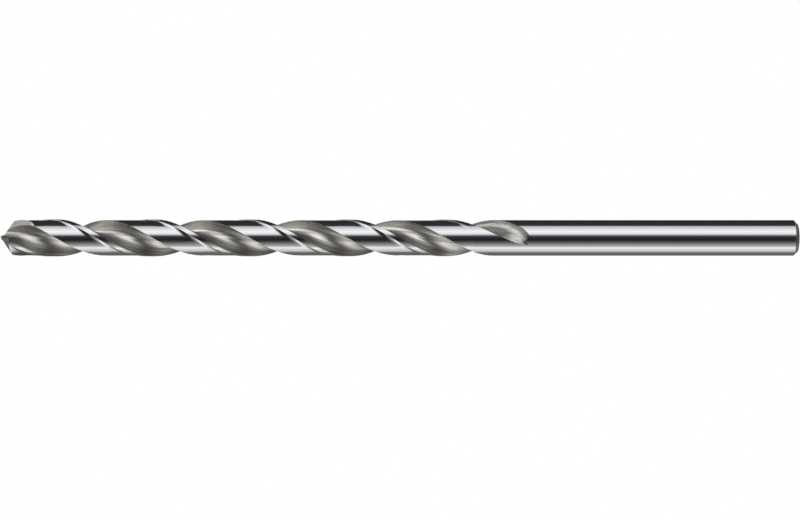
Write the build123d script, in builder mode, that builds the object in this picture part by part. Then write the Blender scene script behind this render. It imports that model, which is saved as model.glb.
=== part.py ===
from build123d import *
import math
import os

# Right-hand twist drill, lying along X: the tip at -X, the shank's end face at x = 0.
# Millimetres and degrees. A depth is measured from the tip toward the shank.

overall_length = 156.0
cutting_diameter = 7.3
shank_diameter = 7.0
shank_chamfer = 0.78
seam_turn = 4.3

# The ground body: its diameter shrinks a little toward the shank, as a drill's does, and
# its margins taper away over the last few millimetres.
back_taper = 0.12
margin_height = 0.15
margin_angle = 14.5
past_heel = 20.0
fade_length = 5.5
fade_height = 0.03
shank_start = 92.5

# The flutes: their width is an angle from one land's lip edge to the next one's heel.
flute_lead = 38.3
flute_angle_tip = 93.0
flute_angle_end = 77.0
root_bulge = 0.42
root_overlap = 15.0
web_at_tip = 1.15
web_growth = 0.0165
face_end = 1.2
section_step = 20.0
overshoot = 0.1
run_in = 0.6

# The run-out, where the grinding wheel rises out of the bar and the flute turns flat.
runout_length = 12.5
wheel_radius = 32.6
lead_drift = 0.3
drift_power = 1.8
flat_bow = 0.05

# The point: each flank is part of a cone that leans away from the drill's axis.
point_angle = 118.0
lip_phase = 193.9
flank_semi_angle = 50.5
flank_tilt_out = 8.5
flank_tilt_ahead = 2.2
flank_inset = 1.146
flank_advance = 0.489

# The gash in front of each lip: its floor cuts the other land's heel, its wall the web.
gash_floor_angle = 30.3
gash_floor_facing = 46.3
gash_setback = 1.12
gash_wall_height = 0.45
gash_wall_angle = 6.0

radius = cutting_diameter / 2
shank_radius = shank_diameter / 2
clearance_radius = radius - margin_height
outside = cutting_diameter * 0.7
inside = radius * 0.7
turn_rate = 360 / flute_lead
half_point = math.radians(point_angle / 2)
lip_depth = radius / math.tan(half_point)
twist_gain = 2 * math.pi / flute_lead / math.tan(half_point)


def polar(distance, angle):
    """A point of a cross section at a distance and an angle in degrees."""
    turned = math.radians(angle)
    return Vector(distance * math.cos(turned), distance * math.sin(turned))


def heading(point):
    """The angle in degrees at which a cross section's point lies."""
    return math.degrees(math.atan2(point.Y, point.X))


def depths(first, last):
    """Section depths close enough together for the twist."""
    count = math.ceil((last - first) * turn_rate / section_step)
    return [first + (last - first) * i / count for i in range(count + 1)]


def tapered(size, depth):
    """A radius of the body at a depth, less what its back taper has taken off."""
    return size - back_taper / 2 * depth / shank_start


def web_radius(depth):
    """Half the web's thickness, which grows toward the shank."""
    return (web_at_tip + web_growth * max(depth, 0)) / 2


def lead_angle(depth):
    """The angle of the lip's outer corner ahead of the lip's own direction."""
    return math.degrees(math.asin(web_radius(depth) / radius))


def section_plane(depth, past=0):
    """A cross section's plane: its x runs out along the lip, its y points ahead."""
    phase = lip_phase + turn_rate * (depth + past - lip_depth)
    toward = polar(1, phase + lead_angle(depth) - lead_angle(0))
    return Plane(
        origin=(depth + past - overall_length, 0, 0),
        x_dir=(0, toward.X, toward.Y),
        z_dir=(-1, 0, 0),
    )


def face_point(depth, distance):
    """A point of the flute face that makes the lip straight at this point angle."""
    half_web = web_radius(depth)
    chord = math.sqrt(radius**2 - half_web**2)
    back = chord - math.sqrt(distance**2 - half_web**2)
    around = math.asin(half_web / distance) + twist_gain * back
    return polar(distance, math.degrees(around))


def flute_arcs(depth):
    """The flute's outline: the face ahead of the lip, the root, the back to the heel."""
    half_web = web_radius(depth)
    share = depth / shank_start
    width = flute_angle_tip + (flute_angle_end - flute_angle_tip) * share
    heel_angle = lead_angle(depth) + width
    with BuildLine(mode=Mode.PRIVATE):
        face = ThreePointArc(
            face_point(depth, radius + overshoot / 2),
            face_point(depth, (radius + half_web) / 2),
            face_point(depth, half_web * face_end),
        )
        root = TangentArc(
            face @ 1,
            polar(radius * root_bulge + half_web, heel_angle + root_overlap),
            tangent=face % 1,
        )
        back = TangentArc(
            root @ 1,
            polar(clearance_radius + overshoot, heel_angle),
            tangent=root % 1,
        )
    return face, root, back


def fluted_section(depth):
    """The bar between two flutes, as two lobes that reach well past its outside."""
    arcs = flute_arcs(depth)
    lead = heading(arcs[0] @ 0)
    heel = heading(arcs[2] @ 1) - 180
    with BuildSketch(section_plane(depth)) as section:
        with BuildLine():
            for turned in (0, 180):
                ThreePointArc(
                    polar(outside, heel + turned),
                    polar(outside, (heel + lead) / 2 + turned),
                    polar(outside, lead + turned),
                )
                Line(polar(outside, lead + turned), (arcs[0] @ 0).rotate(Axis.Z, turned))
                for arc in arcs:
                    add(arc.rotate(Axis.Z, turned))
                end = (arcs[2] @ 1).rotate(Axis.Z, turned)
                Line(end, polar(outside, heel + turned + 180))
        make_face()
    return section.sketch


def clearance_section(depth):
    """What is ground off one land behind its margin, reaching inside the bar."""
    arcs = flute_arcs(depth)
    step = lead_angle(depth) - margin_angle
    heel = heading(arcs[2] @ 1) - 180 - past_heel
    with BuildSketch(section_plane(depth)) as section:
        with BuildLine():
            ThreePointArc(
                polar(outside, heel),
                polar(outside, (heel + step) / 2),
                polar(outside, step),
            )
            Line(polar(outside, step), polar(inside, step))
            ThreePointArc(
                polar(inside, step),
                polar(inside, (heel + step) / 2),
                polar(inside, heel),
            )
            Line(polar(inside, heel), polar(outside, heel))
        make_face()
    return section.sketch


def cutter_section(past):
    """The flute carried past the body: as the wheel rises its outline turns flat."""
    arcs = flute_arcs(shank_start)
    lead = arcs[0] @ 0
    heel = arcs[2] @ 1
    along = (heel - lead).normalized()
    inward = Vector(-along.Y, along.X)
    if inward.dot(lead) > 0:
        inward = -inward
    deep = inward.dot((arcs[1] @ 0.5) - lead)
    rise = wheel_radius - math.sqrt(wheel_radius**2 - past**2)
    keep = max(1 - rise / deep, flat_bow)
    lifted = inward * max(rise - deep, 0)
    moved = lead.rotate(Axis.Z, lead_drift * past**drift_power)
    narrowing = abs(heel - moved) / abs(heel - lead)
    across = (heel - moved).normalized()
    down = Vector(-across.Y, across.X)
    if down.dot(inward) < 0:
        down = -down

    def placed(point):
        run = along.dot(point - heel)
        run *= keep if run > 0 else narrowing
        return heel + across * run + down * inward.dot(point - heel) * keep - lifted

    ends = placed(lead), placed(heel)
    corners = ends[0].normalized() * outside, ends[1].normalized() * outside
    cap = (ends[0] + ends[1]).normalized() * cutting_diameter
    with BuildSketch(section_plane(shank_start, past)) as section:
        with BuildLine():
            for arc in arcs:
                ThreePointArc(placed(arc @ 0), placed(arc @ 0.5), placed(arc @ 1))
            Line(ends[1], corners[1])
            ThreePointArc(corners[1], cap, corners[0])
            Line(corners[0], ends[0])
        make_face()
    return section.sketch


def flank_waste():
    """What a cone-grinding wheel leaves outside one flank, over the point only."""
    lip = section_plane(lip_depth)
    apex = lip.y_dir * flank_advance - lip.x_dir * flank_inset
    toward = Vector(1, 0, 0) + lip.x_dir * math.tan(math.radians(flank_tilt_out))
    toward += lip.y_dir * math.tan(math.radians(flank_tilt_ahead))
    toward = toward.normalized()
    # The cone's surface meets the drill's axis at the tip: a quadratic gives how far
    # back from the apex that is.
    spread = math.cos(math.radians(flank_semi_angle)) ** 2
    side = -toward.dot(apex)
    square = toward.X**2 - spread
    linear = 2 * toward.X * side
    rest = side**2 - spread * apex.dot(apex)
    setback = (math.sqrt(linear**2 - 4 * square * rest) - linear) / (2 * square)
    reach = cutting_diameter * 2.5
    cone = Solid.make_cone(
        0,
        reach * math.tan(math.radians(flank_semi_angle)),
        reach,
        Plane(origin=apex - Vector(overall_length + setback, 0, 0), z_dir=toward),
    )
    end = Plane(origin=(-overall_length - lip_depth, 0, 0), z_dir=(1, 0, 0))
    return Solid.make_cylinder(cutting_diameter, lip_depth * 3, end) - cone


def half_space(point, normal):
    """A block filling one side of a plane, large enough for the drill's point."""
    size = cutting_diameter * 4
    plane = Plane(origin=point, z_dir=normal)
    corner = point - (plane.x_dir + plane.y_dir) * (size / 2)
    placed = Plane(origin=corner, x_dir=plane.x_dir, z_dir=plane.z_dir)
    return Solid.make_box(size, size, size, placed)


def gash_waste():
    """The wedge a thin wheel grinds out between one lip and the other land's heel."""
    lip = section_plane(lip_depth)
    tip = Vector(-overall_length, 0, 0)
    slope = math.radians(gash_floor_angle)
    facing = polar(math.cos(slope), gash_floor_facing)
    floor = lip.x_dir * facing.X + lip.y_dir * facing.Y - Vector(math.sin(slope), 0, 0)
    side = polar(1, 90 + gash_wall_angle)
    wall = lip.x_dir * side.X + lip.y_dir * side.Y
    below_floor = half_space(tip + Vector(gash_setback, 0, 0), floor)
    return below_floor & half_space(tip + lip.y_dir * gash_wall_height, wall)


with BuildPart() as shank:
    # The seam is turned off the top, so that a meshed shank lies on a flat, not an edge.
    with BuildSketch(Plane.XZ.rotated((seam_turn, 0, 0))):
        with BuildLine():
            Polyline(
                (shank_start - overall_length, 0),
                (shank_start - overall_length, shank_radius),
                (-shank_chamfer, shank_radius),
                (0, shank_radius - shank_chamfer),
                (0, 0),
                close=True,
            )
        make_face()
    revolve(axis=Axis.X)
    cutter = loft(
        sections=[cutter_section(past) for past in depths(0, runout_length)],
        mode=Mode.PRIVATE,
    )
    for turned in (0, 180):
        add(cutter.rotate(Axis.X, turned), mode=Mode.SUBTRACT)

along_axis = Plane(origin=(-overall_length - cutting_diameter, 0, 0), z_dir=(1, 0, 0))
from_end = (Align.CENTER, Align.CENTER, Align.MIN)
body_depths = -cutting_diameter, shank_start + cutting_diameter

with BuildPart() as clearance:
    # What is ground off behind a margin stops at the clearance's own slight cone.
    loft(sections=[clearance_section(s) for s in depths(-lip_depth, shank_start + lip_depth)])
    with Locations(along_axis):
        Cone(
            *[tapered(clearance_radius, depth) for depth in body_depths],
            body_depths[1] - body_depths[0],
            align=from_end,
            mode=Mode.SUBTRACT,
        )

with BuildPart() as drill_bit:
    # The body starts a little before the tip, so the point's cuts go right through it.
    loft(sections=[fluted_section(s) for s in depths(-run_in, shank_start)])
    with Locations(along_axis):
        Cone(
            *[tapered(radius, depth) for depth in body_depths],
            body_depths[1] - body_depths[0],
            align=from_end,
            mode=Mode.INTERSECT,
        )
    for turned in (0, 180):
        add(clearance.part.rotate(Axis.X, turned), mode=Mode.SUBTRACT)
    fade_start = shank_start - fade_length
    faded = tapered(clearance_radius, shank_start) + fade_height
    with BuildSketch(Plane.XZ):
        with BuildLine():
            Polyline(
                (fade_start - overall_length, tapered(radius, fade_start)),
                (shank_start - overall_length, faded),
                (shank_start - overall_length + run_in, faded),
                (shank_start - overall_length + run_in, cutting_diameter),
                (fade_start - overall_length, cutting_diameter),
                close=True,
            )
        make_face()
    revolve(axis=Axis.X, mode=Mode.SUBTRACT)
    for turned in (0, 180):
        add(flank_waste().rotate(Axis.X, turned), mode=Mode.SUBTRACT)
    for turned in (0, 180):
        add(gash_waste().rotate(Axis.X, turned), mode=Mode.SUBTRACT)
    add(shank.part)

drill_bit.part.label = "drill_bit"
os.makedirs("parts", exist_ok=True)
export_step(drill_bit.part, "parts/drill_bit.step")
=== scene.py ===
import math

import bpy
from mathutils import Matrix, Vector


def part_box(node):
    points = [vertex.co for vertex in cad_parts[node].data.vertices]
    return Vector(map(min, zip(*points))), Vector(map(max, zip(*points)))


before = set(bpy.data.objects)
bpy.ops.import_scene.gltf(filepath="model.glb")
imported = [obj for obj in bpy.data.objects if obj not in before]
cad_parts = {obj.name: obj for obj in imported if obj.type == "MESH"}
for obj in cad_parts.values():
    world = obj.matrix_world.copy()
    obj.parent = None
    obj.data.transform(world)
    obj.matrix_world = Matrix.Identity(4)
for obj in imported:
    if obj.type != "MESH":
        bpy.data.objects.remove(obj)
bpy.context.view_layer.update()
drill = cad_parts["drill_bit"]
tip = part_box("drill_bit")[0].x
print("frame loaded")


def toLinear(hexColour):  # sRGB hex to the linear colour that a socket takes
    channels = [int(hexColour[i:i + 2], 16) / 255 for i in (1, 3, 5)]
    return [c / 12.92 if c <= 0.04045 else ((c + 0.055) / 1.055) ** 2.4 for c in channels] + [1]


def addNode(tree, kind, settings=None, values=None, links=None):
    made = tree.nodes.new(kind)
    for name, value in (settings or {}).items():
        setattr(made, name, value)
    for socket, value in (values or {}).items():
        made.inputs[socket].default_value = value
    for socket, source in (links or {}).items():
        tree.links.new(source, made.inputs[socket])
    return made


# high speed steel, ground all over and uncoated. The lands and the shank are finish ground and shine
# in clean bands, the flutes are left satin and a little warm by the wheel that cut them
groundSteel = {
    "landColour": "#e4e4e3",
    "landRoughness": 0.07,
    "paintedShadeColour": "#a5a096",  # painted shade on the land beside the point, which the point's grinding also leaves dull and rough
    "dullRoughness": 0.25,
    "dullAndShadedStart": (0.0026, 0.0036),  # from the tip, where it fades in
    "pointColour": "#cdc8c2",
    "pointRoughness": 0.42,
    "pointEnd": (0.006, 0.0065),  # from the tip, where the point and the dull land with its painted shade fade out
    "fluteColour": ("#858077", "#f4f1ea"),  # from a flute's painted shade to its painted highlight
    "fluteRoughness": (0.56, 0.36),
    # from a lip's edge, 0, across its flute to the next land's heel, 1. The shade curve is painted shade,
    # dark at the lip's face and the flute's root, and painted highlight where the flute's bands shine
    "flutePaintedShadeAndHighlight": [(0, 0.06), (0.18, 0.06), (0.34, 0.35), (0.5, 1), (0.64, 0.6), (0.84, 1), (1, 1)],
    "fluteBend": [(0, 0), (0.22, 0), (0.4, 0.45), (0.55, 1), (0.7, 0.58), (1, 0.65)],
    "mostBend": 30,  # degrees
    "runOutShade": 0.7,
    "streakShade": 1.2,
    "streakWidth": 0.00028,  # the wheel's real grit lines, 0.02 mm apart, are too fine to show
    "streakLength": 0.006,
    "streakDepth": 0.000012,
    "lapWidth": 0.00015,  # of the finish ground lines round the shank, drawn just as coarse
    "lapDepth": 0.0000006,
    "hollow": (14.5, 29),  # behind the margin, in degrees behind the lip's edge
    "hollowTurn": 26,
    # where the drill's faces are
    "landRadius": 0.0035,  # at the point, and what the back taper has taken off it at the flutes' end
    "landTaper": 0.00006,
    "landDepth": (0.00014, 0.0002),  # how far below that radius a facet of the land may dip
    "landFacing": (0.9, 0.95),  # how straight out it faces, from not at all a land to wholly one
    "pointFacing": (-0.45, -0.4),  # how far forwards, from wholly a point's face to not at all one
    "flutesEnd": 0.0925,  # from the tip
    "flutesFade": 0.006,
    "turnLength": 0.0383,  # one whole turn of a flute
    "lipDepth": 0.00219,  # where a lip's outer corner is, and the way that it points there
    "lipAngle": 184.84,
    "lipRadius": 0.00365,
    "acrossPerMetre": 141,  # how fast a flute is crossed going back from the lip's edge, and ahead
    "aheadPerMetre": (130, 172),  # at the tip and at the flutes' end, as the web thickens
}


def findPlaces(tree):  # where a place on the drill is, as the steel needs to know it
    steel = groundSteel
    place = addNode(tree, "ShaderNodeTexCoord").outputs["Object"]
    split = addNode(tree, "ShaderNodeSeparateXYZ", links={0: place})
    along = split.outputs["X"]
    fromAxis = addNode(
        tree, "ShaderNodeCombineXYZ", links={"Y": split.outputs["Y"], "Z": split.outputs["Z"]},
    ).outputs[0]
    out = addNode(tree, "ShaderNodeVectorMath", {"operation": "NORMALIZE"}, links={0: fromAxis}).outputs[0]
    reach = addNode(
        tree, "ShaderNodeVectorMath", {"operation": "LENGTH"}, links={0: fromAxis},
    ).outputs["Value"]

    # untwisted, the flutes run straight, with a lip's outer edge along Y
    perTurn = 2 * math.pi / steel["turnLength"]
    twist = addNode(
        tree, "ShaderNodeMath", {"operation": "MULTIPLY_ADD"},
        {1: -perTurn, 2: perTurn * (tip + steel["lipDepth"]) - math.radians(steel["lipAngle"])},
        {0: along},
    ).outputs[0]
    untwisted = addNode(
        tree, "ShaderNodeVectorRotate", {"rotation_type": "X_AXIS"},
        links={"Vector": place, "Angle": twist},
    ).outputs[0]
    section = addNode(tree, "ShaderNodeSeparateXYZ", links={0: untwisted})

    # the two flutes are alike half a turn apart, so one is folded onto the other
    side = addNode(
        tree, "ShaderNodeMath", {"operation": "SIGN"}, links={0: section.outputs["Z"]},
    ).outputs[0]
    behind = addNode(
        tree, "ShaderNodeMath", {"operation": "MULTIPLY"}, links={0: section.outputs["Y"], 1: side},
    ).outputs[0]
    ahead = addNode(
        tree, "ShaderNodeMath", {"operation": "MULTIPLY"}, links={0: section.outputs["Z"], 1: side},
    ).outputs[0]
    around = addNode(
        tree, "ShaderNodeMath", {"operation": "ARCTAN2"}, links={0: ahead, 1: behind},
    ).outputs[0]

    # how far across its flute a place is: 0 at the lip's edge, 1 at the next land's heel
    perMetre = addNode(
        tree, "ShaderNodeMapRange",
        values={
            "From Min": tip, "From Max": tip + steel["flutesEnd"],
            "To Min": steel["aheadPerMetre"][0], "To Max": steel["aheadPerMetre"][1],
        },
        links={"Value": along},
    ).outputs[0]
    fromEdge = addNode(
        tree, "ShaderNodeMath", {"operation": "MULTIPLY_ADD"},
        {1: steel["acrossPerMetre"], 2: steel["acrossPerMetre"] * steel["lipRadius"]}, {0: behind},
    ).outputs[0]
    acrossFlute = addNode(
        tree, "ShaderNodeMath", {"operation": "MULTIPLY_ADD"},
        links={0: ahead, 1: perMetre, 2: fromEdge},
    ).outputs[0]
    return {
        "along": along, "out": out, "reach": reach, "untwisted": untwisted,
        "around": around, "acrossFlute": acrossFlute,
    }


def markFaces(tree, places):  # 1 on each kind of face and 0 off it
    steel = groundSteel
    along = places["along"]
    facing = addNode(tree, "ShaderNodeTexCoord").outputs["Normal"]

    # a land is as far out as the bar and faces straight out
    landRadius = addNode(
        tree, "ShaderNodeMapRange",
        values={
            "From Min": tip, "From Max": tip + steel["flutesEnd"],
            "To Min": steel["landRadius"], "To Max": steel["landRadius"] - steel["landTaper"],
        },
        links={"Value": along},
    ).outputs[0]
    below = addNode(
        tree, "ShaderNodeMath", {"operation": "SUBTRACT"}, links={0: landRadius, 1: places["reach"]},
    ).outputs[0]
    near = addNode(
        tree, "ShaderNodeMapRange",
        values={
            "From Min": steel["landDepth"][0], "From Max": steel["landDepth"][1],
            "To Min": 1, "To Max": 0,
        },
        links={"Value": below},
    ).outputs[0]
    radial = addNode(
        tree, "ShaderNodeVectorMath", {"operation": "DOT_PRODUCT"}, links={0: places["out"], 1: facing},
    ).outputs["Value"]
    straight = addNode(
        tree, "ShaderNodeMapRange",
        values={"From Min": steel["landFacing"][0], "From Max": steel["landFacing"][1]},
        links={"Value": radial},
    ).outputs[0]
    land = addNode(
        tree, "ShaderNodeMath", {"operation": "MULTIPLY"}, links={0: near, 1: straight},
    ).outputs[0]

    # the point's flanks and gashes face forwards, and so do no other faces
    faceAlong = addNode(tree, "ShaderNodeSeparateXYZ", links={0: facing}).outputs["X"]
    forwards = addNode(
        tree, "ShaderNodeMapRange",
        values={
            "From Min": steel["pointFacing"][0], "From Max": steel["pointFacing"][1],
            "To Min": 1, "To Max": 0,
        },
        links={"Value": faceAlong},
    ).outputs[0]
    atPoint = addNode(
        tree, "ShaderNodeMapRange",
        values={
            "From Min": tip + steel["pointEnd"][0], "From Max": tip + steel["pointEnd"][1],
            "To Min": 1, "To Max": 0,
        },
        links={"Value": along},
    ).outputs[0]
    point = addNode(
        tree, "ShaderNodeMath", {"operation": "MULTIPLY"}, links={0: forwards, 1: atPoint},
    ).outputs[0]

    fluted = addNode(
        tree, "ShaderNodeMapRange",
        values={
            "From Min": tip + steel["flutesEnd"] - steel["flutesFade"],
            "From Max": tip + steel["flutesEnd"], "To Min": 1, "To Max": 0,
        },
        links={"Value": along},
    ).outputs[0]
    pastMargin = addNode(
        tree, "ShaderNodeMath", {"operation": "GREATER_THAN"},
        {1: math.radians(steel["hollow"][0])}, {0: places["around"]},
    ).outputs[0]
    pastCorner = addNode(
        tree, "ShaderNodeMapRange",
        values={
            "From Min": tip + steel["dullAndShadedStart"][0],
            "From Max": tip + steel["dullAndShadedStart"][1],
        },
        links={"Value": along},
    ).outputs[0]
    besidePoint = addNode(
        tree, "ShaderNodeMath", {"operation": "MULTIPLY"}, links={0: pastCorner, 1: atPoint},
    ).outputs[0]
    # the land beside the point, past the margin, is dull and darkened with painted shade
    dullAndShaded = addNode(
        tree, "ShaderNodeMath", {"operation": "MULTIPLY"}, links={0: pastMargin, 1: besidePoint},
    ).outputs[0]
    return {"land": land, "point": point, "fluted": fluted, "pastMargin": pastMargin, "dullAndShaded": dullAndShaded}


def makeGroundSteel():
    steel = groundSteel
    material = bpy.data.materials.new("groundHighSpeedSteel")
    material.use_nodes = True
    tree = material.node_tree
    tree.nodes.clear()
    places = findPlaces(tree)
    masks = markFaces(tree, places)

    # how a flute's painted shade and highlight, and its bend, change from its lip to its heel
    curves = {}
    for name in ("flutePaintedShadeAndHighlight", "fluteBend"):
        made = addNode(tree, "ShaderNodeFloatCurve", links={"Value": places["acrossFlute"]})
        first, *between, last = steel[name]
        points = made.mapping.curves[0].points
        points[0].location = first
        points[1].location = last
        for point in between:
            points.new(*point)
        made.mapping.update()
        curves[name] = made.outputs[0]

    # the wheel's lines run along the flutes, and the lapping's run round the shank
    drawn = addNode(
        tree, "ShaderNodeVectorMath", {"operation": "MULTIPLY"},
        {1: (1 / steel["streakLength"], 1 / steel["streakWidth"], 1 / steel["streakWidth"])},
        {0: places["untwisted"]},
    ).outputs[0]
    streaks = addNode(
        tree, "ShaderNodeTexNoise", values={"Scale": 1, "Detail": 3, "Roughness": 0.6},
        links={"Vector": drawn},
    ).outputs[0]
    rings = addNode(
        tree, "ShaderNodeTexNoise", {"noise_dimensions": "1D"},
        {"Scale": 1 / steel["lapWidth"], "Detail": 2}, {"W": places["along"]},
    ).outputs[0]

    # painted shade darkens the face behind the lip, and painted highlight brightens the bottom and the
    # back of the flute
    shade = addNode(
        tree, "ShaderNodeMix", values={2: steel["runOutShade"]},
        links={0: masks["fluted"], 3: curves["flutePaintedShadeAndHighlight"]},
    ).outputs[0]
    uneven = addNode(
        tree, "ShaderNodeMath", {"operation": "MULTIPLY_ADD"},
        {1: steel["streakShade"], 2: -steel["streakShade"] / 2}, {0: streaks},
    ).outputs[0]
    shaded = addNode(
        tree, "ShaderNodeMath", {"operation": "ADD", "use_clamp": True}, links={0: shade, 1: uneven},
    ).outputs[0]

    fluteColour = addNode(
        tree, "ShaderNodeMix", {"data_type": "RGBA"},
        {6: toLinear(steel["fluteColour"][0]), 7: toLinear(steel["fluteColour"][1])}, {0: shaded},
    ).outputs[2]
    # the land's colour, darkened beside the point by painted shade
    landColour = addNode(
        tree, "ShaderNodeMix", {"data_type": "RGBA"},
        {6: toLinear(steel["landColour"]), 7: toLinear(steel["paintedShadeColour"])}, {0: masks["dullAndShaded"]},
    ).outputs[2]
    groundColour = addNode(
        tree, "ShaderNodeMix", {"data_type": "RGBA"}, {7: toLinear(steel["pointColour"])},
        {0: masks["point"], 6: fluteColour},
    ).outputs[2]
    colour = addNode(
        tree, "ShaderNodeMix", {"data_type": "RGBA"},
        links={0: masks["land"], 6: groundColour, 7: landColour},
    ).outputs[2]

    fluteRoughness = addNode(
        tree, "ShaderNodeMapRange",
        values={"To Min": steel["fluteRoughness"][0], "To Max": steel["fluteRoughness"][1]},
        links={"Value": shaded},
    ).outputs[0]
    landRoughness = addNode(
        tree, "ShaderNodeMix", values={2: steel["landRoughness"], 3: steel["dullRoughness"]},
        links={0: masks["dullAndShaded"]},
    ).outputs[0]
    groundRoughness = addNode(
        tree, "ShaderNodeMix", values={3: steel["pointRoughness"]},
        links={0: masks["point"], 2: fluteRoughness},
    ).outputs[0]
    roughness = addNode(
        tree, "ShaderNodeMix", links={0: masks["land"], 2: groundRoughness, 3: landRoughness},
    ).outputs[0]

    # a land is a true round, so its normal is worked out and the mesh's facets don't show. Behind the
    # margin, the wheel that backs the land off leaves a hollow that turns the normal from the margin
    hollow = addNode(
        tree, "ShaderNodeMapRange", {"interpolation_type": "SMOOTHSTEP"},
        {
            "From Min": math.radians(steel["hollow"][0]), "From Max": math.radians(steel["hollow"][1]),
            "To Min": math.radians(steel["hollowTurn"]), "To Max": 0,
        },
        {"Value": places["around"]},
    ).outputs[0]
    inHollow = addNode(
        tree, "ShaderNodeMath", {"operation": "MULTIPLY"},
        links={0: masks["pastMargin"], 1: masks["fluted"]},
    ).outputs[0]
    hollowTurn = addNode(
        tree, "ShaderNodeMath", {"operation": "MULTIPLY"}, links={0: hollow, 1: inHollow},
    ).outputs[0]
    landNormal = addNode(
        tree, "ShaderNodeVectorRotate", {"rotation_type": "X_AXIS"},
        links={"Vector": places["out"], "Angle": hollowTurn},
    ).outputs[0]
    roundNormal = addNode(
        tree, "ShaderNodeVectorTransform",
        {"vector_type": "NORMAL", "convert_from": "OBJECT", "convert_to": "WORLD"},
        links={0: landNormal},
    ).outputs[0]
    meshNormal = addNode(tree, "ShaderNodeNewGeometry").outputs["Normal"]
    smooth = addNode(
        tree, "ShaderNodeMix", {"data_type": "VECTOR"},
        links={0: masks["land"], 4: meshNormal, 5: roundNormal},
    ).outputs[1]
    lapped = addNode(
        tree, "ShaderNodeBump", values={"Distance": steel["lapDepth"], "Strength": 1},
        links={"Height": rings, "Normal": smooth},
    ).outputs[0]

    # the flute's bottom is flatter and its back rounder than a clean arc, as a worn wheel leaves them
    mostBend = addNode(
        tree, "ShaderNodeMath", {"operation": "MULTIPLY"}, {1: math.radians(steel["mostBend"])},
        {0: masks["fluted"]},
    ).outputs[0]
    bend = addNode(
        tree, "ShaderNodeMath", {"operation": "MULTIPLY"}, links={0: curves["fluteBend"], 1: mostBend},
    ).outputs[0]
    bent = addNode(
        tree, "ShaderNodeVectorRotate", {"rotation_type": "X_AXIS"},
        links={"Vector": meshNormal, "Angle": bend},
    ).outputs[0]
    streaked = addNode(
        tree, "ShaderNodeBump", values={"Distance": steel["streakDepth"], "Strength": 1},
        links={"Height": streaks, "Normal": bent},
    ).outputs[0]
    normal = addNode(
        tree, "ShaderNodeMix", {"data_type": "VECTOR"}, links={0: masks["land"], 4: streaked, 5: lapped},
    ).outputs[1]

    shader = addNode(
        tree, "ShaderNodeBsdfPrincipled", values={"Metallic": 1},
        links={"Base Color": colour, "Roughness": roughness, "Normal": normal},
    )
    addNode(tree, "ShaderNodeOutputMaterial", links={"Surface": shader.outputs[0]})
    return material


drill.material_slots[0].material = makeGroundSteel()
print("drill's steel set")

# plain white floor that keeps the drill's shadow
floorPlan = {
    "size": 3.0,
    "height": -0.00365,  # just under the drill
    "seenColour": "#ffffff",
    "litColour": "#e6e6e6",
}


def makeWhiteFloor():
    material = bpy.data.materials.new("whiteFloor")
    material.use_nodes = True
    tree = material.node_tree
    tree.nodes.clear()
    path = addNode(tree, "ShaderNodeLightPath")
    matt = addNode(tree, "ShaderNodeBsdfDiffuse", values={"Color": toLinear(floorPlan["litColour"])})
    white = addNode(tree, "ShaderNodeEmission", values={"Color": toLinear(floorPlan["seenColour"])})
    clear = addNode(tree, "ShaderNodeBsdfTransparent")
    seen = addNode(
        tree, "ShaderNodeMixShader",
        links={0: path.outputs["Is Camera Ray"], 1: matt.outputs[0], 2: white.outputs[0]},
    )
    # the steel sees the tent through the floor, so that its bands run on below it
    reflected = addNode(
        tree, "ShaderNodeMixShader",
        links={0: path.outputs["Is Glossy Ray"], 1: seen.outputs[0], 2: clear.outputs[0]},
    )
    addNode(tree, "ShaderNodeOutputMaterial", links={"Surface": reflected.outputs[0]})
    return material


bpy.ops.mesh.primitive_plane_add(size=floorPlan["size"], location=(0, 0, floorPlan["height"]))
floor = bpy.context.object
floor.name = "floor"
floor.data.materials.append(makeWhiteFloor())
print("floor laid")

# a light tent of white and dark cards, as the steel sees it: degrees up from the camera's side, round
# the drill's axis. It is open and dark past the shank's end
tent = {
    "cards": [
        (-180, "#666664"), (-122, "#606260"), (-106, "#7e8080"), (-97, "#c4c4c6"), (-82, "#d4d4d6"),
        (-67, "#f6f6f8"), (-52, "#a4a4a2"), (-30, "#626460"), (-20, "#3a3a38"), (-12, "#202020"),
        (4, "#2a2b2c"), (14, "#4c4e50"), (20, "#a8aaae"), (27, "#e2e4ea"), (42, "#fafcff"),
        (70, "#d2d4da"), (80, "#b4b6b8"), (88, "#303032"), (150, "#242426"), (165, "#9a9a9a"),
    ],
    "cardStrength": 1.2,
    "openColour": "#181818",
    "openFrom": (0.8, 0.95),
    "plainColour": "#ffffff",
}


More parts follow.
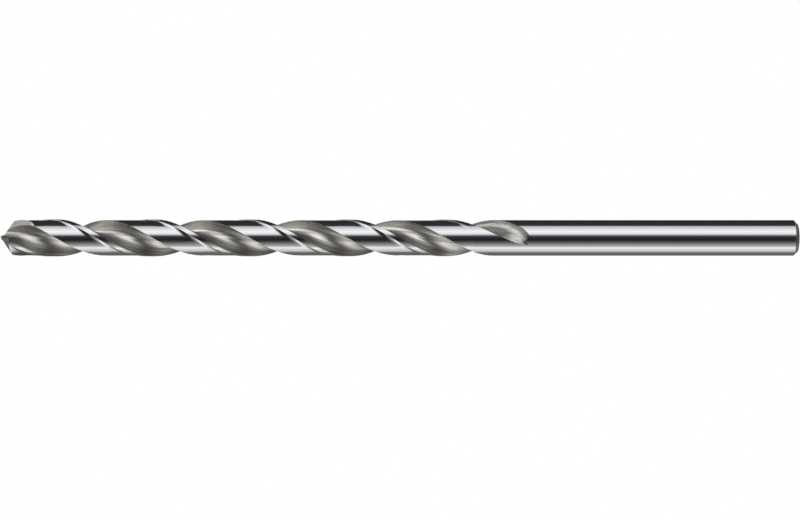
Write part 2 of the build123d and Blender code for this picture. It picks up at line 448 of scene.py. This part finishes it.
def makeTent():
    world = bpy.data.worlds.new("whiteTent")
    bpy.context.scene.world = world
    world.use_nodes = True
    tree = world.node_tree
    tree.nodes.clear()
    toward = addNode(tree, "ShaderNodeTexCoord").outputs["Generated"]
    split = addNode(tree, "ShaderNodeSeparateXYZ", links={0: toward})
    front = addNode(
        tree, "ShaderNodeMath", {"operation": "MULTIPLY"}, {1: -1}, {0: split.outputs["Y"]},
    ).outputs[0]
    turned = addNode(
        tree, "ShaderNodeMath", {"operation": "ARCTAN2"}, links={0: split.outputs["Z"], 1: front},
    ).outputs[0]
    share = addNode(
        tree, "ShaderNodeMapRange", values={"From Min": -math.pi, "From Max": math.pi},
        links={"Value": turned},
    ).outputs[0]
    ramp = addNode(tree, "ShaderNodeValToRGB", links={0: share})
    stops = ramp.color_ramp.elements
    for stop in stops:  # the ramp's two ends meet behind the drill
        stop.color = toLinear(tent["cards"][0][1])
    for angle, hexColour in tent["cards"][1:]:
        stops.new(angle / 360 + 0.5).color = toLinear(hexColour)

    endwards = addNode(
        tree, "ShaderNodeMapRange",
        values={"From Min": tent["openFrom"][0], "From Max": tent["openFrom"][1]},
        links={"Value": split.outputs["X"]},
    ).outputs[0]
    cards = addNode(
        tree, "ShaderNodeMix", {"data_type": "RGBA"}, {7: toLinear(tent["openColour"])},
        {0: endwards, 6: ramp.outputs[0]},
    ).outputs[2]
    reflected = addNode(
        tree, "ShaderNodeBackground", values={"Strength": tent["cardStrength"]}, links={"Color": cards},
    )
    plain = addNode(tree, "ShaderNodeBackground", values={"Color": toLinear(tent["plainColour"])})
    path = addNode(tree, "ShaderNodeLightPath")
    shown = addNode(
        tree, "ShaderNodeMixShader",
        links={0: path.outputs["Is Glossy Ray"], 1: plain.outputs[0], 2: reflected.outputs[0]},
    )
    addNode(tree, "ShaderNodeOutputWorld", links={"Surface": shown.outputs[0]})


makeTent()
print("light tent set up")

viewPlan = {
    "lens": 99.7,
    "sensorWidth": 36,
    "beside": -0.0778,  # level with the drill's middle
    "distance": 0.434,
    "rise": 0.010,
    "tipDown": 0.5725,  # degrees below the drill, which so lies above the middle of the view
}
camera = bpy.data.objects.new("camera", bpy.data.cameras.new("camera"))
bpy.context.scene.collection.objects.link(camera)
camera.data.lens = viewPlan["lens"]
camera.data.sensor_width = viewPlan["sensorWidth"]
away = math.sqrt(viewPlan["distance"]**2 - viewPlan["rise"]**2)
camera.location = (viewPlan["beside"], -away, viewPlan["rise"])
pitch = math.atan2(viewPlan["rise"], away) + math.radians(viewPlan["tipDown"])
camera.rotation_euler = (math.radians(90) - pitch, 0, 0)
bpy.context.scene.camera = camera
bpy.context.scene.view_settings.view_transform = "Standard"
print("camera set")
